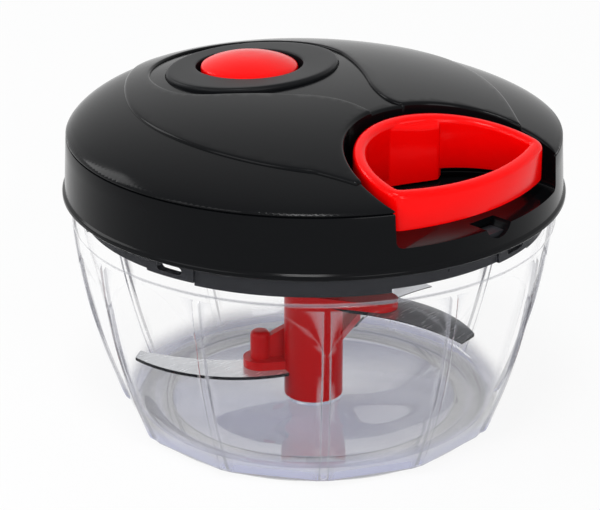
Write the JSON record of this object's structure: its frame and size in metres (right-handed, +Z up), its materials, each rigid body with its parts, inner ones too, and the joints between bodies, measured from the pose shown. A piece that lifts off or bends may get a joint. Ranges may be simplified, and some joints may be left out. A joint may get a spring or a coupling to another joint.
{
  "type": "pull-string food chopper",
  "caption": "Round hand food chopper: ribbed clear bowl, curved blades on an upright shaft, domed dark lid with a pull handle on a cord and a push button.",
  "frame": {"origin": "on the bowl's axis, in the plane the foot ring stands on", "axes": "+Z up along the bowl's axis; -Y towards the pull handle, +Y towards the button"},
  "size_m": [0.1314, 0.1314, 0.0937],
  "materials": {
    "clear_plastic": "clear, glossy",
    "black_plastic": "glossy",
    "dark_plastic": "satin",
    "red_plastic": "glossy",
    "red_hub": "glossy",
    "white_plastic": "satin",
    "blade_steel": "brushed, with ground edges",
    "steel": "plain",
    "cord": "twisted"
  },
  "bodies": {
    "bowl": {"bowl": "clear_plastic", "pivot_pin": "steel"},
    "lid": {"lid_shell": "black_plastic", "lid_base": "dark_plastic", "lid_screws": "steel", "button_bezel": "black_plastic", "spool_washer": "steel", "spool_screw": "steel", "cord_guide": "steel", "pull_cord": "cord", "button_spring": "steel"},
    "handle": {"pull_handle": "red_plastic", "cord_end": "cord"},
    "spool": {"cord_spool": "white_plastic", "cord_winding": "cord", "return_spring": "steel", "spring_cover": "white_plastic"},
    "driver": {"drive_hub": "white_plastic", "pawl_a": "white_plastic", "pawl_b": "white_plastic"},
    "blades": {"blade_shaft": "red_hub", "blade_lower": "blade_steel", "blade_middle": "blade_steel", "blade_upper": "blade_steel"},
    "button": {"push_button": "red_plastic"}
  },
  "joints": [
    {"name": "lid_lift", "type": "slide", "parent": "bowl", "child": "lid", "axis": [0, 0, 1], "range_m": [0, 0.07]},
    {"name": "handle_pull", "type": "slide", "parent": "lid", "child": "handle", "axis": [0, -1, 0], "range_m": [0, 0.45], "stiffness_N_per_m": 5, "springref_m": -0.05},
    {"name": "spool_spin", "type": "hinge", "parent": "lid", "child": "spool", "pos_m": [0, 0, 0.0786], "axis": [0, 0, 1], "range_deg": [-1830, 0]},
    {"name": "driver_spin", "type": "hinge", "parent": "lid", "child": "driver", "pos_m": [0, 0, 0.065], "axis": [0, 0, 1], "range_deg": [-1830, 0]},
    {"name": "blade_spin", "type": "hinge", "parent": "bowl", "child": "blades", "pos_m": [0, 0, 0.02], "axis": [0, 0, 1], "range_deg": [-1830, 0]},
    {"name": "button_press", "type": "slide", "parent": "lid", "child": "button", "axis": [0, 0, -1], "range_m": [0, 0.002], "stiffness_N_per_m": 300, "springref_m": -0.001, "deforming": ["button_spring"]}
  ],
  "couplings": [
    {"joint": "spool_spin", "follows": "handle_pull", "rad_per_m": -70.9},
    {"joint": "driver_spin", "follows": "handle_pull", "rad_per_m": -70.9},
    {"joint": "blade_spin", "follows": "handle_pull", "rad_per_m": -70.9}
  ]
}
